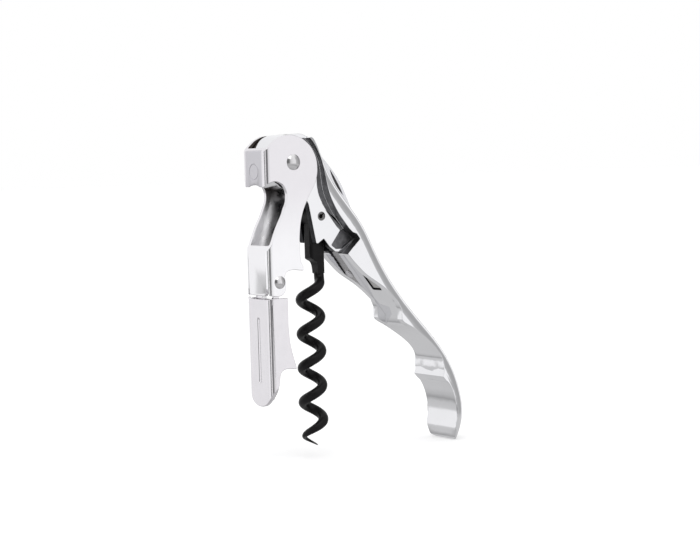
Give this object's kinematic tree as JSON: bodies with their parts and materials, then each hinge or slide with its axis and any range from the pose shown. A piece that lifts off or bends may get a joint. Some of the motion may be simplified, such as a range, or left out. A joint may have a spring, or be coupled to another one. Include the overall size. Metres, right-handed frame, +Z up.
{
  "type": "lever corkscrew",
  "caption": "Folding lever corkscrew with a hinged double-step lever, cap-lifter mouth, coated worm and foil blade, standing part open.",
  "frame": {"origin": "on the worm's axis, level with the worm's point, where it enters the cork", "axes": "+Z up along the worm, +X from the two levers towards the handle, +Y along the hinge axes"},
  "size_m": [0.0762, 0.0152, 0.0998],
  "materials": {
    "polished_chrome": "mirror polished chrome on a die-cast handle",
    "satin_nickel": "satin nickel on stamped sheet",
    "rivet_steel": "turned steel, lightly polished",
    "pin_steel": "dark rolled spring steel",
    "spring_steel": "blued spring steel",
    "blade_steel": "fine ground stainless steel",
    "black_coating": "satin black non-stick coating"
  },
  "bodies": {
    "handle": {"handle_body": "polished_chrome", "main_rivet": "rivet_steel", "pivot_washer_left": "rivet_steel", "pivot_washer_right": "rivet_steel", "worm_pin": "pin_steel", "blade_pin": "rivet_steel", "back_spring": "spring_steel", "spring_rivet": "rivet_steel"},
    "upper_lever": {"upper_lever": "satin_nickel", "link_rivet": "rivet_steel"},
    "lower_lever": {"lower_lever": "satin_nickel"},
    "worm": {"worm_hub": "black_coating", "worm": "black_coating"},
    "foil_blade": {"foil_blade": "blade_steel"}
  },
  "joints": [
    {"name": "lever_hinge", "type": "hinge", "parent": "handle", "child": "upper_lever", "pos_m": [-0.0091, 0, 0.088], "axis": [0, 1, 0], "range_deg": [-38, 60]},
    {"name": "worm_hinge", "type": "hinge", "parent": "handle", "child": "worm", "pos_m": [0.00201, 0, 0.07128], "axis": [0, 1, 0], "range_deg": [-38, 60]},
    {"name": "link_hinge", "type": "hinge", "parent": "upper_lever", "child": "lower_lever", "pos_m": [-0.0153, 0, 0.0521], "axis": [0, 1, 0], "range_deg": [0, 15]},
    {"name": "blade_hinge", "type": "hinge", "parent": "handle", "child": "foil_blade", "pos_m": [-0.00207, 0, 0.08977], "axis": [0, -1, 0], "range_deg": [0, 135]}
  ],
  "couplings": [
    {"joint": "worm_hinge", "follows": "lever_hinge", "ratio": 1}
  ]
}
